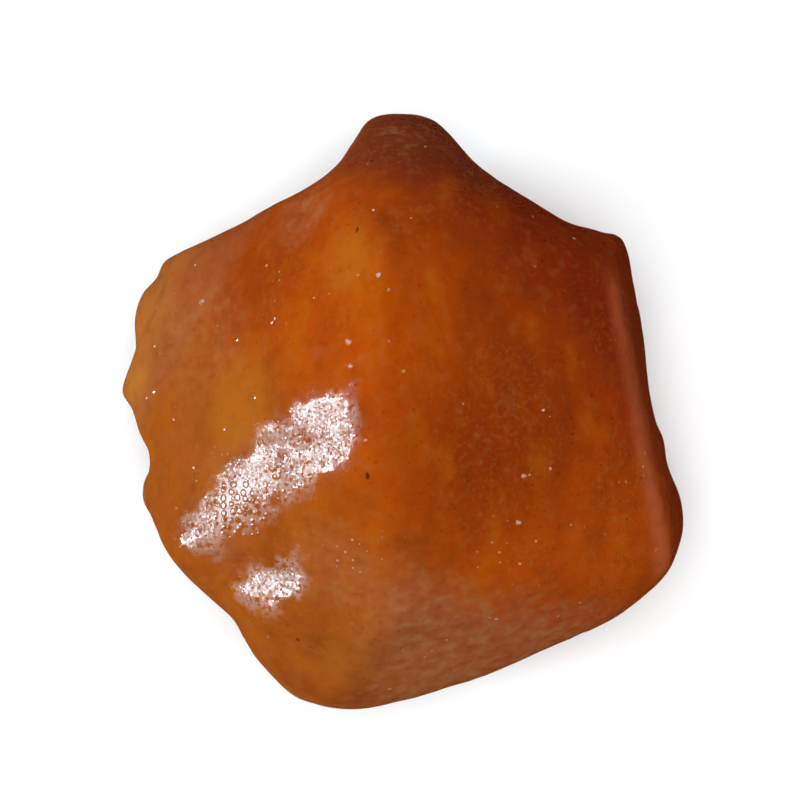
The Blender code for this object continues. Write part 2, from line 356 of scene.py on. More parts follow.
def broad_outline(bearing):
    """The outline without its nicks and knobs: its average over a short arc."""
    steps = np.radians(np.linspace(-BROAD_ARC, BROAD_ARC, BROAD_SAMPLES))
    return np.mean([around(OUTLINE, bearing + step) for step in steps], axis=0)


def plane(point, slopes, x, y):
    """Height over (x, y) of the plane through a point with the given two slopes."""
    return point[2] + slopes[0] * (x - point[0]) + slopes[1] * (y - point[1])


def worn_minimum(heights, wear):
    """The lowest of several heights, h, with the creases rounded by wear, w.

    It is -w times the logarithm of the sum of exp(-h / w).
    """
    lowest = np.min(heights, axis=0)
    total = sum(np.exp((lowest - height) / wear) for height in heights)
    return lowest - wear * np.log(total)


def worn_faces(faces, wear, x, y):
    """Height over (x, y) under all of some faces, their folds rounded by wear."""
    return worn_minimum([plane(point, slopes, x, y) for point, slopes in faces.values()], wear)


def roof(x, y):
    """Height of the faceted roof over (x, y): the lowest face, plus bell-shaped swells."""
    west = worn_faces(WEST_FACES, WEST_WEAR, x, y)
    east = worn_faces(EAST_FACES, EAST_WEAR, x, y)
    edges = worn_faces(EDGE_FACES, EDGE_WEAR, x, y)
    height = worn_minimum([worn_minimum([west, east], RIDGE_WEAR), edges], EDGE_WEAR)
    for (swell_x, swell_y), reach, rise in SWELLS:
        height = height + rise * np.exp(-((x - swell_x) ** 2 + (y - swell_y) ** 2) / reach**2)
    return height


def keel(x, y):
    """Height of the faceted keel under (x, y): the highest of its faces and its floor."""
    faces = [plane(point, slopes, x, y) for point, slopes in KEEL_FACES.values()]
    floor = np.full_like(x, KEEL_FLOOR)
    return -worn_minimum([-floor] + [-face for face in faces], KEEL_WEAR)


def random_field(points, wavelength, seed):
    """A smooth random value from -1 to 1 at each point.

    Random values on a lattice one wavelength apart, blended between the eight corners
    around a point with the weight 3t^2 - 2t^3 along each axis.
    """
    size = LATTICE_SIZE
    lattice = np.random.default_rng(seed).uniform(-1, 1, (size, size, size))
    cell, part = np.divmod(points / wavelength + size / 2, 1.0)
    cell = cell.astype(int)
    part = part * part * (3 - 2 * part)
    total = np.zeros(len(points))
    for corner in np.ndindex(2, 2, 2):
        weight = np.prod(np.where(np.array(corner) == 1, part, 1 - part), axis=1)
        i, j, k = ((cell + corner) % size).T
        total += weight * lattice[i, j, k]
    return total


def relief(points, is_roof):
    """How far each point moves out from the heart: uneven growth less the breaks.

    A shell-shaped break of depth d and radius r takes away d (1 - (distance / r)^2).
    """
    growth = np.zeros(len(points))
    for number, (wavelength, height) in enumerate(UNEVENNESS):
        growth += height * random_field(points, wavelength, UNEVENNESS_SEED + number)
    growth *= np.where(is_roof, UNEVENNESS_ON_ROOF, 1.0)
    for middle, radius, depth in SCOOPS:
        distance = np.linalg.norm(points - middle, axis=1)
        growth -= depth * np.clip(1 - (distance / radius) ** 2, 0, None)
    for place, lower_side, drop, length in LEDGES:
        offset = points - place
        past = (offset @ np.array(lower_side)) / LEDGE_SOFTNESS
        nearness = np.exp(-np.sum(offset**2, axis=1) / length**2)
        growth -= drop * nearness / (1 + np.exp(-np.clip(past, -STEEPEST_STEP, STEEPEST_STEP)))
    return growth


def bare_lump(directions):
    """Carry directions from the heart out to the lump before its relief.

    A direction's bearing picks the outline's radius and the girdle's height. Its
    steepness runs along a superellipse, (reach)^p + (rise)^p = 1, from the girdle,
    reach 1 and rise 0, up to the roof or down to the keel, reach 0 and rise 1.
    """
    dx, dy, dz = directions.T
    bearing = np.arctan2(dy, dx)
    level = np.hypot(dx, dy)
    is_roof = dz >= 0
    power = np.where(is_roof, around(ROOF_POWER, bearing), KEEL_POWER)
    length = (level**power + np.abs(dz) ** power) ** (1 / power)
    rise = np.abs(dz) / length
    broad = broad_outline(bearing)
    radius = broad + (around(OUTLINE, bearing) - broad) * (1 - rise**2)
    reach = level / length * radius
    x = reach * np.cos(bearing)
    y = reach * np.sin(bearing)
    girdle = around(GIRDLE, bearing)
    z = girdle + rise * (np.where(is_roof, roof(x, y), keel(x, y)) - girdle)
    return np.column_stack((x, y, z)), is_roof, np.abs(z - girdle)


def fine_relief(points, is_roof, pit_places):
    """The relief too fine for the solid: grain, ripples in the breaks, and pits.

    Ripples are a cosine of the distance from a break's middle, strongest at its rim.
    Folds are a sine under a bell. A pit or a pock of radius r takes away its depth
    times (1 - (distance / r)^2)^2.
    """
    growth = np.zeros(len(points))
    for number, (wavelength, height) in enumerate(FINE_UNEVENNESS):
        growth += height * random_field(points, wavelength, PIT_SEED + number)
    growth *= np.where(is_roof, 1.0, FINE_ON_KEEL)
    for middle, radius, _ in SCOOPS:
        share = np.linalg.norm(points - middle, axis=1) / radius
        wave = np.cos(2 * np.pi * share * radius / RIPPLE_LENGTH)
        growth += RIPPLE_HEIGHT * wave * np.where(share < 1, share**2 * (1 - share) * 4, 0)
    for middle, across, length, height, reach in FOLDS:
        offset = points - middle
        fading = np.exp(-np.sum(offset**2, axis=1) / reach**2)
        growth += height * fading * np.sin(2 * np.pi * (offset @ np.array(across)) / length)
    for middle, radius, depth in POCKS:
        near = np.sum((points - middle) ** 2, axis=1) / radius**2
        growth -= depth * np.clip(1 - near, 0, None) ** 2
    chance = np.random.default_rng(PIT_SEED)
    radii = chance.uniform(*PIT_RADIUS, len(pit_places))
    depths = chance.uniform(*PIT_DEPTH, len(pit_places))
    for place, radius, depth in zip(pit_places, radii, depths):
        near = np.sum((points - place) ** 2, axis=1) / radius**2
        growth -= depth * np.clip(1 - near, 0, None) ** 2
    return growth


def pit_places(count):
    """Places on the lump for the pits: even random directions carried out to it."""
    directions = np.random.default_rng(PIT_SEED).normal(size=(count, 3))
    directions /= np.linalg.norm(directions, axis=1)[:, None]
    return bare_lump(directions)[0]


def lump(directions):
    """The finished surface: the bare lump, moved out or in by the relief.

    The relief fades out at the girdle, where the outline is exact. The flat is the
    softened maximum of the height and zero.
    """
    points, is_roof, height_off_girdle = bare_lump(directions)
    guard = np.clip(height_off_girdle / GIRDLE_GUARD, 0, 1)
    guard = guard * guard * (3 - 2 * guard)
    outward = points - HEART
    outward /= np.linalg.norm(outward, axis=1)[:, None]
    growth = relief(points, is_roof) * guard
    fine_share = FINE_AT_GIRDLE + (1 - FINE_AT_GIRDLE) * guard
    growth += fine_relief(points, is_roof, pit_places(PIT_COUNT)) * fine_share
    points = points + outward * growth[:, None]
    points[:, 2] = -worn_minimum([-points[:, 2], np.zeros(len(points))], FLAT_SOFTNESS)
    return points


def cube_grid(steps):
    """Six square grids folded into a cube from -1 to 1, their shared edges welded.

    Each side is a grid over two parameters, u and v; the third coordinate is the end
    of the cube that the side closes. Returns the grid's points and its quads.
    """
    u, v = np.meshgrid(np.arange(steps + 1), np.arange(steps + 1), indexing="ij")
    sides = []
    for axis in range(3):
        for end in (0, steps):
            side = np.empty(u.shape + (3,), int)
            side[..., axis] = end
            side[..., (axis + 1) % 3] = u if end else v
            side[..., (axis + 2) % 3] = v if end else u
            sides.append(side)
    corners, index = np.unique(np.reshape(sides, (-1, 3)), axis=0, return_inverse=True)
    index = index.reshape(6, steps + 1, steps + 1)
    rings = (index[:, :-1, :-1], index[:, 1:, :-1], index[:, 1:, 1:], index[:, :-1, 1:])
    return corners / steps * 2 - 1, np.stack(rings, axis=-1).reshape(-1, 4)


def fitted(points, box):
    """Stretch points, by far less than a millimetre, to fill a box exactly."""
    low, high = points.min(axis=0), points.max(axis=0)
    box_low, box_high = np.array(box[0]), np.array(box[1])
    return box_low + (points - low) * (box_high - box_low) / (high - low)


def closed_mesh(name, points, quads):
    """A smooth-shaded mesh of quads, put in as whole arrays."""
    mesh = bpy.data.meshes.new(name)
    mesh.vertices.add(len(points))
    mesh.vertices.foreach_set("co", points.ravel())
    mesh.loops.add(quads.size)
    mesh.loops.foreach_set("vertex_index", quads.ravel())
    mesh.polygons.add(len(quads))
    mesh.polygons.foreach_set("loop_start", np.arange(0, quads.size, 4))
    mesh.update(calc_edges=True)
    mesh.validate()
    mesh.shade_smooth()
    return mesh


# ---------------------------------------------------------------- the amber's finish


class Wire:
    """A node's output socket. Arithmetic on it puts a Math node after it."""

    def __init__(self, recipe, socket):
        self.recipe = recipe
        self.socket = socket

    def _math(self, operation, first, second):
        return self.recipe.node("ShaderNodeMath", {"operation": operation}, {0: first, 1: second})

    def __add__(self, other):
        return self._math("ADD", self, other)

    def __sub__(self, other):
        return self._math("SUBTRACT", self, other)

    def __rsub__(self, other):
        return self._math("SUBTRACT", other, self)

    def __mul__(self, other):
        return self._math("MULTIPLY", self, other)

    __radd__ = __add__
    __rmul__ = __mul__


class Recipe:
    """Writes a material's node tree."""

    def __init__(self, name):
        self.material = bpy.data.materials.new(name)
        self.material.use_nodes = True
        self.tree = self.material.node_tree
        self.shader = self.tree.nodes["Principled BSDF"]
        self.output = self.tree.nodes["Material Output"]

    def fill(self, node, sockets):
        """Set a node's input sockets, by name or number, to values or wires."""
        for key, value in sockets.items():
            if isinstance(value, Wire):
                self.tree.links.new(value.socket, node.inputs[key])
            else:
                node.inputs[key].default_value = value

    def node(self, kind, settings=None, sockets=None, output=0):
        """Add a node: its settings first, then its sockets. Returns one output."""
        node = self.tree.nodes.new(kind)
        for key, value in (settings or {}).items():
            setattr(node, key, value)
        self.fill(node, sockets or {})
        return Wire(self, node.outputs[output])

    def ease(self, value, low, high):
        """0 below low, 1 above high, and a smooth step between; low may be the larger."""
        return self.node("ShaderNodeMapRange", {"interpolation_type": "SMOOTHSTEP"},
                         {"Value": value, "From Min": low, "From Max": high})

    def noise(self, place, size, detail=2.0, roughness=0.5, distortion=0.0):
        """Smooth noise from 0 to 1 with lumps of the given size in mm."""
        return self.node("ShaderNodeTexNoise", None,
                         {"Vector": place, "Scale": 1 / (size * MM), "Detail": detail,
                          "Roughness": roughness, "Distortion": distortion})

    def cells(self, place, size, randomness=1.0):
        """Distance to the nearest of scattered points, as a share of their spacing in mm."""
        return self.node("ShaderNodeTexVoronoi", None,
                         {"Vector": place, "Scale": 1 / (size * MM), "Randomness": randomness},
                         "Distance")

    def flakes(self, place, cells):
        """Height in mm of one flake a cell, each tilted its own way by a slope of up to 1."""
        outputs = cells.socket.node.outputs
        own, middle = Wire(self, outputs["Color"]), Wire(self, outputs["Position"])
        offset = self.node("ShaderNodeVectorMath", {"operation": "SUBTRACT"}, {0: place, 1: middle})
        tilt = self.node("ShaderNodeVectorMath", {"operation": "SUBTRACT"}, {0: own, 1: (0.5,) * 3})
        return self.node("ShaderNodeVectorMath", {"operation": "DOT_PRODUCT"},
                         {0: offset, 1: tilt}, "Value") * (2 / MM)

    def axes(self, place):
        """A place's three coordinates, in mm."""
        split = self.node("ShaderNodeSeparateXYZ", None, {0: place}).socket.node
        return [Wire(self, output) * (1 / MM) for output in split.outputs]

    def stretched(self, place, factors, turn):
        """A place turned by some degrees about +Z, then scaled by a factor on each axis."""
        rotation = (0, 0, math.radians(turn))
        return self.node("ShaderNodeMapping", None,
                         {"Vector": place, "Scale": factors, "Rotation": rotation})

    def patches(self, place, spots, wander):
        """Sum of soft round patches, each a middle in mm, a radius and a strength."""
        total = 0.0
        for spot, radius, strength in spots:
            middle = tuple(value * MM for value in spot)
            away = self.node("ShaderNodeVectorMath", {"operation": "DISTANCE"},
                             {0: place, 1: middle}, "Value") * (1 / MM)
            total = total + self.ease(away + wander, radius, radius * 0.3) * strength
        return total

    def chosen(self, cells, share):
        """1 in that share of the cells, picked at random, and 0 in the others."""
        chance = self.node("ShaderNodeSeparateXYZ", None,
                           {0: Wire(self, cells.socket.node.outputs["Color"])})
        return self.ease(chance, share, share - 0.02)

    def tint(self, share, below, above):
        """Mix two colours: below where the share is 0, above where it is 1."""
        return self.node("ShaderNodeMix", {"data_type": "RGBA"},
                         {0: share, 6: below, 7: above}, 2)


def linear(red, green, blue):
    """A display colour of 0 to 255 as the linear colour that shaders use."""
    share = np.array((red, green, blue)) / 255
    curve = np.where(share <= 0.04045, share / 12.92, ((share + 0.055) / 1.055) ** 2.4)
    return (*(float(value) for value in curve), 1.0)


def amber_material(look):
    """See-through resin under a clouded, coloured crust.

    The colour follows the place on the lump, in mm from the middle of its flat:
    orange along the ridge; honey on the west, lighter partly as painted light on the
    faces toward the window; dark red-brown to the north-east, partly painted shade on
    the side away from it; brown on the nose; pale cloud along the south-east edge,
    partly a painted veil of reflection; and yellow on the thin western rim, a painted
    glow of light shining through. A painted highlight runs along the eastern edge, with
    painted shade beyond it. Wisps, curds and strokes break it up, and pale specks that
    are painted glints and sparkles. The skin is polished and gently waved, but for the
    frosted patches: there flakes tilted all ways and round beads scatter the gloss over a
    paler, rougher ground, its paleness partly a painted highlight, and some of it stands
    up in pimples.
    """
    r = Recipe("raw_amber")
    place = r.node("ShaderNodeTexCoord", None, None, "Object")
    x, y, z = r.axes(place)

    broad = r.noise(place, BROAD_SIZE, 2.0)
    wisp = r.noise(r.stretched(place, (1.15, 0.6, 0.9), 10), WISP_SIZE, 2.0)
    fibre = r.noise(r.stretched(place, (0.3, 1.2, 1.0), -6), FIBRE_SIZE, 1.0, 0.6)
    cloud = r.noise(place, CLOUD_SIZE, 1.5, 0.6)
    wander = (broad - 0.5) * 8.0 + (wisp - 0.5) * 5.0

    # Lighter honey tone on the west: partly painted light on the faces toward the window.
    honey = r.ease(x * -0.6 - y * 0.45 + wander * 0.6, 0.0, 9.0)
    color = r.tint(honey, look.glow[:], look.honey[:])
    # Yellow patches: a painted glow of light shining through the resin.
    yellow = r.patches(place, YELLOW_PATCHES, wander * 0.3)
    color = r.tint(yellow, color, look.rim[:])
    # Painted shade, in part: darker red-brown toward the north-east, the side away from the window,
    # over the resin's own darker tone there.
    shade = r.ease(x * 0.7 + y * 0.6 + wander * 0.6, 4.0, 16.0)
    color = r.tint(shade * 0.95, color, look.deep_and_shade[:])
    # Darker red-brown low along the north rim.
    north_rim = r.ease(z + wander * 0.2, 16.0, 12.0) * r.ease(y, 7.0, 11.0)
    color = r.tint(north_rim * 0.6, color, look.deep_and_shade[:])
    color = r.tint(r.patches(place, DEEP_PATCHES, wander * 0.4), color, look.deep_and_shade[:])

    color = r.tint(r.ease(wisp, 0.48, 0.74) * 0.26, color, look.smoke[:])
    color = r.tint(r.ease(wisp, 0.50, 0.28) * (0.36 - shade * 0.26), color, look.ember[:])

    # Pale cloud along the south-east edge and in patches: partly the resin's cloud, partly a
    # painted veil of reflection on the steep rolls.
    haze_and_veil = r.ease(x * -0.30 - y * 0.95 + wander * 0.5, 8.5, 14.0)
    haze_and_veil = haze_and_veil * r.ease(x + wander * 0.3, -6.0, 2.0)
    haze_and_veil = haze_and_veil + r.patches(place, HAZE_PATCHES, wander * 0.4)
    streaks = r.ease(fibre, 0.34, 0.68) * 0.28 + r.ease(cloud, 0.34, 0.66) * 0.40
    color = r.tint(haze_and_veil * (0.42 + streaks), color, look.haze_and_veil[:])
    nose = r.ease(y + wander * 0.3, 15.5, 20.0)
    color = r.tint(nose * 0.85, color, look.crust[:])

    # Painted light: the low western sides, which get little light, are lightened toward the rim
    # yellow.
    thin = r.ease(z + wander * 0.3, 14.0, 10.5) * r.ease(x, -2.0, -9.0)
    color = r.tint(thin * 0.4, color, look.rim[:])
    # Paler band on the north-west bevel: a painted veil of reflection.
    along_bevel = x * BEVEL_DIRECTION[0] + y * BEVEL_DIRECTION[1]
    bevel = r.ease(along_bevel + wander * 0.1, *BEVEL_RANGE)
    color = r.tint(bevel * 0.35, color, look.haze_and_veil[:])
    # A painted highlight along the worn eastern edge, stronger to the south.
    across_edge = x + y * EDGE_LEAN + wander * 0.07 - EDGE_EAST
    off_edge = r.node("ShaderNodeMath", {"operation": "ABSOLUTE"}, {0: across_edge})
    painted_edge_highlight = r.ease(off_edge, 1.3, 0.0) * r.ease(z, 9.0, 13.0) * r.ease(y, 12.5, 8.5)
    color = r.tint(painted_edge_highlight * (0.64 + r.ease(y, 4.0, -8.0) * 0.20), color, look.edge[:])
    # Painted shade on the steep east side beyond the edge.
    color = r.tint(r.ease(across_edge, 0.5, 2.4) * 0.8, color, look.deep_and_shade[:])
    skin = r.ease(z + wander * 0.3, 6.5, 3.0)
    color = r.tint(skin * 0.6, color, look.crust[:])

    color = r.tint(r.ease(cloud, 0.50, 0.30) * 0.14, color, look.smoke[:])
    color = r.tint(r.ease(cloud, 0.52, 0.70) * (0.10 + haze_and_veil * 0.50), color, look.curd[:])

    stroke_cells = r.cells(r.stretched(place, (1.0, 0.42, 0.8), 8), STROKE_SPACING)
    stroke = r.ease(stroke_cells + (cloud - 0.5) * 0.10, 0.085, 0.035)
    stroke = stroke * r.chosen(stroke_cells, 0.25)
    color = r.tint(stroke * 0.8, color, look.crack[:])

    grain = r.noise(place, GRAIN_SIZE, 1.0, 0.6)
    waves = r.noise(place, WAVE_SIZE, 1.0)
    clusters = r.ease(broad, 0.44, 0.60)
    color = r.tint(r.ease(grain, 0.45, 0.95) * (0.08 + clusters * 0.22), color, look.curd[:])
    round_cells = r.cells(place, PIMPLE_SPACING, 0.6)
    # Painted glints: pale specks in clusters.
    painted_speck_glint = r.ease(round_cells + (grain - 0.5) * 0.8, 0.21, 0.08) * r.chosen(round_cells, 0.07)
    color = r.tint(painted_speck_glint * clusters * 0.8, color, look.pale_glint[:])
    # Painted glints: the palest spots, some in random cells and some at the places in GLINTS.
    glint = r.ease(round_cells + (grain - 0.5) * 0.6, 0.26, 0.12) * r.chosen(round_cells, 0.018)
    from_above = r.stretched(place, (1.0, 1.0, 0.0), 0)
    glint = glint + r.patches(from_above, GLINTS, (grain - 0.5) * 0.5)
    color = r.tint(glint * 0.8, color, look.glint[:])
    # Painted sparkles of the window's reflection, in the sparkle patches.
    sparkle = r.ease(round_cells + (grain - 0.5) * 0.5, 0.19, 0.08) * r.chosen(round_cells, 0.30)
    sparkle = sparkle * r.patches(place, SPARKLE_PATCHES, (waves - 0.5) * 4.0)
    color = r.tint(sparkle, color, look.glint[:])

    # The skin's relief, in shares of the micro relief's height.
    in_patch = r.ease(r.patches(place, PIMPLE_PATCHES, (waves - 0.5) * 2.0), 0.1, 0.5)
    pimple = r.ease(round_cells, 0.58, 0.30) * in_patch
    frosted = r.ease(r.patches(place, FROST_PATCHES, (waves - 0.5) * 3.0), 0.05, 0.8)
    grit = r.cells(place, GRIT_SPACING)
    bead = r.ease(grit, 0.62, 0.30) * r.chosen(grit, 0.38) * frosted * (1.0 - in_patch)
    flake = r.flakes(place, grit) * (look.flake_slope * MM / look.micro_relief)
    spark = r.chosen(grit, 0.03) * 4.0
    height = waves * 0.65 + flake * (spark + 0.06 + frosted * (0.70 - in_patch * 0.5))
    height = height + pimple * 0.45 + bead * 0.20
    bump = r.node("ShaderNodeBump", None,
                  {"Strength": 1.0, "Distance": look.micro_relief, "Height": height})
    # Paler ground on the frosted patches and beads: partly rough frosting, partly a painted
    # highlight under the window's reflection.
    frost_and_highlight = r.ease(grain, 0.35, 0.48) * frosted * (1.0 - pimple) * (1.0 - bead)
    color = r.tint(frost_and_highlight * 0.58 + bead * 0.25, color, look.bloom_and_highlight[:])
    roughness = frost_and_highlight * 0.18 + nose * 0.12 + look.polish

    r.fill(r.shader, {
        "Base Color": color,
        "Roughness": roughness,
        "Normal": bump,
        "IOR": look.refraction,
        "Transmission Weight": look.clearness,
        "Subsurface Weight": look.cloudiness,
        "Subsurface Radius": SCATTER_SHARES,
        "Subsurface Scale": SCATTER_DEPTH,
    })
    r.shader.subsurface_method = "BURLEY"
    depth = r.tree.nodes.new("ShaderNodeVolumeAbsorption")
    depth.inputs["Color"].default_value = look.absorption[:]
    depth.inputs["Density"].default_value = look.density
    r.tree.links.new(depth.outputs[0], r.output.inputs["Volume"])
    return r.material


def floor_material(color):
    """Matt, very pale studio paper with the faintest mottle."""
    r = Recipe("studio_paper")
    place = r.node("ShaderNodeTexCoord", None, None, "Object")
    mottle = r.ease(r.noise(place, 6.0, 2.0), 0.3, 0.7)
    darker = tuple(value * 0.99 for value in color[:3]) + (1.0,)
    r.fill(r.shader, {
        "Base Color": r.tint(mottle, tuple(color), darker),
        "Roughness": 0.9,
        "Specular IOR Level": 0.1,
    })
    return r.material


def backdrop_material(color):
    """Even pale light, so the backdrop shows no shade of its own."""
    material = bpy.data.materials.new("backdrop")
    material.use_nodes = True
    shader = material.node_tree.nodes["Principled BSDF"]
    shader.inputs["Base Color"].default_value = (0.0, 0.0, 0.0, 1.0)
    shader.inputs["Specular IOR Level"].default_value = 0.0
    shader.inputs["Emission Color"].default_value = color[:]
    shader.inputs["Emission Strength"].default_value = 1.0
    return material


def area_light(name, place, target, size, power, color, shows_in_gloss):
    """A rectangular soft light at a place, facing a target."""
    light = bpy.data.lights.new(name, "AREA")
    light.shape = "RECTANGLE"
    light.size, light.size_y = size
    light.energy = power
    light.color = color
    lamp = bpy.data.objects.new(name, light)
    lamp.location = place
    lamp.rotation_euler = (Vector(place) - Vector(target)).to_track_quat("Z", "Y").to_euler()
    lamp.visible_glossy = lamp.visible_transmission = shows_in_gloss
    bpy.context.scene.collection.objects.link(lamp)


# ---------------------------------------------------------------- settings


class AmberLumpSettings(bpy.types.PropertyGroup):
    """Size of the lump's mesh and the colours of its resin."""

    steps: IntProperty(
        name="Steps", description="Squares along each side of the lump's six grids",
        default=128, min=8, max=129)
    glow: FloatVectorProperty(
        name="Glow", description="Orange along the ridge, where light comes through",
        subtype="COLOR", size=4, default=linear(198, 82, 6))
    # Honey: partly painted light, lighter on the faces toward the window.
    honey: FloatVectorProperty(
        name="Honey", description="Lighter honey orange of the west faces",
        subtype="COLOR", size=4, default=linear(181, 90, 22))
    # Dark red-brown: the thick resin's own tone, also used as painted shade on the side away from
    # the window.
    deep_and_shade: FloatVectorProperty(
        name="Deep", description="Dark red-brown of the thick north-east part",
        subtype="COLOR", size=4, default=linear(132, 38, 8))
    crust: FloatVectorProperty(
        name="Crust", description="Brown weathered crust on the nose",
        subtype="COLOR", size=4, default=linear(126, 48, 25))
    # Pinkish-grey cloud, partly a painted veil of reflection on the steep rolls.
    haze_and_veil: FloatVectorProperty(
        name="Haze", description="Pinkish-grey cloud along the south-east edge",
        subtype="COLOR", size=4, default=linear(190, 111, 68))
    # Rim yellow: a painted glow of light shining through thin resin.
    rim: FloatVectorProperty(
        name="Rim", description="Yellow of the thin western rim",
        subtype="COLOR", size=4, default=linear(218, 142, 42))
    smoke: FloatVectorProperty(
        name="Smoke", description="Dark wisps in the resin",
        subtype="COLOR", size=4, default=linear(112, 42, 16))
    ember: FloatVectorProperty(
        name="Ember", description="Bright wisps in the resin",
        subtype="COLOR", size=4, default=linear(206, 108, 5))
    curd: FloatVectorProperty(
        name="Curd", description="Small yellowish clouds",
        subtype="COLOR", size=4, default=linear(192, 132, 70))
    # A painted highlight along the worn eastern edge.
    edge: FloatVectorProperty(
        name="Edge", description="Rosy line where the eastern edge is worn",
        subtype="COLOR", size=4, default=linear(212, 104, 58))
    # Pale specks that are painted glints.
    pale_glint: FloatVectorProperty(
        name="Fleck", description="Pale specks under the surface",
        subtype="COLOR", size=4, default=linear(240, 178, 110))
    # Painted glints.
    glint: FloatVectorProperty(
        name="Glint", description="Palest specks",
        subtype="COLOR", size=4, default=linear(236, 210, 188))
    crack: FloatVectorProperty(
        name="Crack", description="Dark strokes",
        subtype="COLOR", size=4, default=linear(70, 22, 8))
    # Partly a painted highlight: the pale ground under the window's reflection.
    bloom_and_highlight: FloatVectorProperty(
        name="Bloom", description="Pale frosting of tiny pits on the worn faces",
        subtype="COLOR", size=4, default=linear(206, 170, 154))
    absorption: FloatVectorProperty(
        name="Absorption", description="Colour that light keeps on its way through",
        subtype="COLOR", size=4, default=(0.78, 0.55, 0.05, 1.0))
    density: FloatProperty(
        name="Density", description="How fast the resin takes light away, per metre",
        default=220.0, min=0.0)
    clearness: FloatProperty(
        name="Clearness", description="Share of the light that enters the resin",
        default=0.4, min=0.0, max=1.0, subtype="FACTOR")
    cloudiness: FloatProperty(
        name="Cloudiness", description="Share of the rest that scatters under the surface",
        default=0.45, min=0.0, max=1.0, subtype="FACTOR")
    refraction: FloatProperty(
        name="Refraction", description="Index of refraction of amber", default=1.54, min=1.0)
    polish: FloatProperty(
        name="Polish", description="Lowest roughness of the worn surface",
        default=0.09, min=0.0, max=1.0, subtype="FACTOR")
    micro_relief: FloatProperty(
        name="Micro relief", description="Height of the orange-peel texture",
        default=0.00007, min=0.0, unit="LENGTH", precision=6)
    flake_slope: FloatProperty(
        name="Flake slope", description="Steepest tilt of the surface's tiny flakes",
        default=0.11, min=0.0)


class AmberStudioSettings(bpy.types.PropertyGroup):
    """The floor, the lights and the camera."""

    floor_size: FloatProperty(
        name="Floor size", description="Side of the square floor",
        default=3.0, unit="LENGTH")
    floor_color: FloatVectorProperty(
        name="Floor colour", description="Colour of the paper the amber lies on",
        subtype="COLOR", size=4, default=(0.92, 0.92, 0.92, 1.0))
    air_color: FloatVectorProperty(
        name="Air", description="Dim light from all round, over the floor",
        subtype="COLOR", size=4, default=(0.022, 0.022, 0.022, 1.0))
    west_glow: FloatVectorProperty(
        name="Western glow", description="Warm glow that the steep western sides mirror",
        subtype="COLOR", size=4, default=(0.34, 0.080, 0.018, 1.0))
    under_glow: FloatVectorProperty(
        name="Eastern glow", description="Warm glow that the other steep sides mirror",
        subtype="COLOR", size=4, default=(0.09, 0.015, 0.006, 1.0))
    backdrop_color: FloatVectorProperty(
        name="Backdrop", description="Colour behind the floor",
        subtype="COLOR", size=4, default=(1.0, 1.0, 1.0, 1.0))
    camera_height: FloatProperty(
        name="Camera height", description="Height of the lens over the floor",
        default=0.160, unit="LENGTH")
    camera_place: FloatVectorProperty(
        name="Camera place", description="Where over the floor the camera looks down",
        size=2, subtype="XYZ", unit="LENGTH", default=(-0.000259, 0.000941))
    focal_length: FloatProperty(
        name="Focal length", description="Lens focal length, in mm on a 36 mm sensor",
        default=85.0)
    window_power: FloatProperty(
        name="Window power", description="Power of the window light, in watts",
        default=0.56)
    window_bearing: FloatProperty(
        name="Window bearing", description="Direction of the window from the amber",
        default=math.radians(188), subtype="ANGLE")
    window_height: FloatProperty(
        name="Window elevation", description="How high the window stands",
        default=math.radians(17.5), subtype="ANGLE")


# ---------------------------------------------------------------- operators


class AMBER_OT_lump(bpy.types.Operator):
    """Make the amber lump with its see-through finish"""

    bl_idname = "amber.lump"
    bl_label = "Amber Lump"
    bl_options = {"REGISTER", "UNDO"}

    def execute(self, context):
        settings = context.scene.amber_lump
        corners, quads = cube_grid(settings.steps)
        spread = np.tan(corners * np.pi / 4)
        directions = spread / np.linalg.norm(spread, axis=1)[:, None]
        points = fitted(lump(directions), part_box(NODE))
        mesh = closed_mesh("raw_amber", points, quads)
        mesh.materials.append(amber_material(settings))
        piece = bpy.data.objects.new("raw_amber", mesh)
        context.scene.collection.objects.link(piece)
        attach(piece, "root")
        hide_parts(NODE)
        return {"FINISHED"}


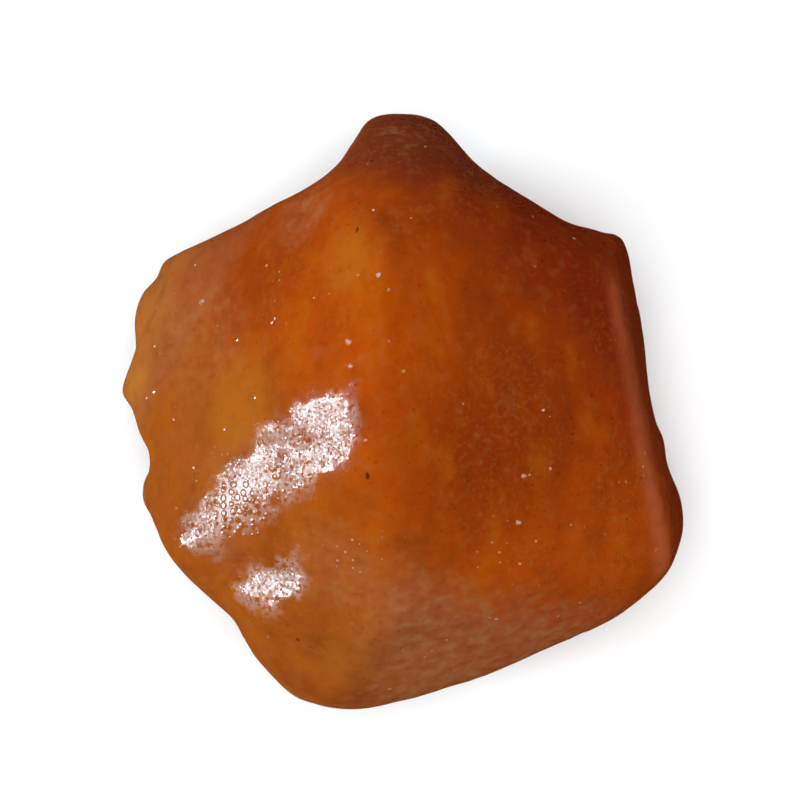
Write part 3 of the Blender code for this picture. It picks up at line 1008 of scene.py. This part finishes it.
class AMBER_OT_studio(bpy.types.Operator):
    """Make the pale floor, the soft lights and the camera"""

    bl_idname = "amber.studio"
    bl_label = "Studio"
    bl_options = {"REGISTER", "UNDO"}

    def execute(self, context):
        settings = context.scene.amber_studio
        self.floor(context, settings)
        self.backdrop(context, settings)
        self.lights(context, settings)
        self.camera(context, settings)
        return {"FINISHED"}

    def floor(self, context, settings):
        """A square of pale paper that gloss doesn't mirror."""
        half = settings.floor_size / 2
        corners = [(x * half, y * half, -FLOOR_DROP)
                   for x, y in ((-1, -1), (1, -1), (1, 1), (-1, 1))]
        mesh = bpy.data.meshes.new("floor")
        mesh.from_pydata(corners, [], [(0, 1, 2, 3)])
        mesh.materials.append(floor_material(settings.floor_color))
        floor = bpy.data.objects.new("floor", mesh)
        floor.visible_glossy = False
        context.scene.collection.objects.link(floor)

    def backdrop(self, context, settings):
        """A pale dome round the floor, turned from BACKDROP, that only the camera sees."""
        turn = np.linspace(0, 2 * math.pi, BACKDROP_SIDES, endpoint=False)
        radius, height = np.array(BACKDROP).T[:, :, None]
        points = np.stack([radius * np.cos(turn), radius * np.sin(turn), height + 0 * turn], axis=2)
        near = np.arange(len(BACKDROP) - 1)[:, None] * BACKDROP_SIDES
        along = np.arange(BACKDROP_SIDES)
        after = (along + 1) % BACKDROP_SIDES
        faces = np.stack([near + along, near + BACKDROP_SIDES + along,
                          near + BACKDROP_SIDES + after, near + after], axis=2)
        mesh = bpy.data.meshes.new("backdrop")
        mesh.from_pydata(points.reshape(-1, 3).tolist(), [], faces.reshape(-1, 4).tolist())
        mesh.materials.append(backdrop_material(settings.backdrop_color))
        backdrop = bpy.data.objects.new("backdrop", mesh)
        backdrop.visible_diffuse = backdrop.visible_glossy = False
        backdrop.visible_transmission = backdrop.visible_volume_scatter = False
        backdrop.visible_shadow = False
        context.scene.collection.objects.link(backdrop)

    def lights(self, context, settings):
        """The window that the gloss mirrors, the soft lamp overhead and the air."""
        bearing, height = settings.window_bearing, settings.window_height
        toward = Vector((math.cos(bearing) * math.cos(height),
                         math.sin(bearing) * math.cos(height), math.sin(height)))
        target = Vector(WINDOW_TARGET)
        area_light("window", target + toward * WINDOW_DISTANCE, target, WINDOW_SIZE,
                   settings.window_power, WINDOW_COLOR, True)
        area_light("overhead", OVERHEAD_PLACE, (0.0, 0.0, 0.0), OVERHEAD_SIZE,
                   OVERHEAD_POWER, OVERHEAD_COLOR, False)
        world = bpy.data.worlds.new("studio_air")
        world.use_nodes = True
        self.air(world.node_tree, settings)
        context.scene.world = world
        context.scene.view_settings.view_transform = "Standard"

    def air(self, tree, settings):
        """Dim white air over the floor and a warm glow under it, which only gloss can see."""
        direction = tree.nodes.new("ShaderNodeTexCoord").outputs["Generated"]
        split = tree.nodes.new("ShaderNodeSeparateXYZ")
        tree.links.new(direction, split.inputs[0])

        def blend(axis, low, high, below, above):
            """Mix two colours over a range of one axis of the direction."""
            share = tree.nodes.new("ShaderNodeMapRange")
            share.inputs["From Min"].default_value = low
            share.inputs["From Max"].default_value = high
            tree.links.new(split.outputs[axis], share.inputs["Value"])
            mix = tree.nodes.new("ShaderNodeMix")
            mix.data_type = "RGBA"
            tree.links.new(share.outputs[0], mix.inputs[0])
            for number, color in ((6, below), (7, above)):
                if isinstance(color, bpy.types.NodeSocket):
                    tree.links.new(color, mix.inputs[number])
                else:
                    mix.inputs[number].default_value = color[:]
            return mix.outputs[2]

        under = blend("X", *GLOW_WEST_TO_EAST, settings.west_glow, settings.under_glow)
        sky = blend("Z", *GLOW_TO_AIR, under, settings.air_color)
        tree.links.new(sky, tree.nodes["Background"].inputs["Color"])

    def camera(self, context, settings):
        """A camera that looks straight down."""
        data = bpy.data.cameras.new("camera")
        data.lens = settings.focal_length
        data.sensor_width = SENSOR_WIDTH
        data.clip_start = NEAREST_SEEN
        camera = bpy.data.objects.new("camera", data)
        camera.location = (*settings.camera_place, settings.camera_height)
        context.scene.collection.objects.link(camera)
        context.scene.camera = camera


class AMBER_PT_panel(bpy.types.Panel):
    """Buttons and settings for the amber lump and its studio"""

    bl_label = "Raw Amber"
    bl_idname = "AMBER_PT_panel"
    bl_space_type = "VIEW_3D"
    bl_region_type = "UI"
    bl_category = "Amber"

    def draw(self, context):
        for operator, group in ((AMBER_OT_lump, context.scene.amber_lump),
                                (AMBER_OT_studio, context.scene.amber_studio)):
            box = self.layout.box()
            box.operator(operator.bl_idname)
            for name in group.__annotations__:
                box.prop(group, name)


CLASSES = (AmberLumpSettings, AmberStudioSettings, AMBER_OT_lump, AMBER_OT_studio, AMBER_PT_panel)


def register():
    for item in CLASSES:
        bpy.utils.register_class(item)
    bpy.types.Scene.amber_lump = PointerProperty(type=AmberLumpSettings)
    bpy.types.Scene.amber_studio = PointerProperty(type=AmberStudioSettings)


def unregister():
    del bpy.types.Scene.amber_studio
    del bpy.types.Scene.amber_lump
    for item in reversed(CLASSES):
        bpy.utils.unregister_class(item)


def main():
    register()
    bpy.ops.amber.lump()
    bpy.ops.amber.studio()


if __name__ == "__main__":
    main()
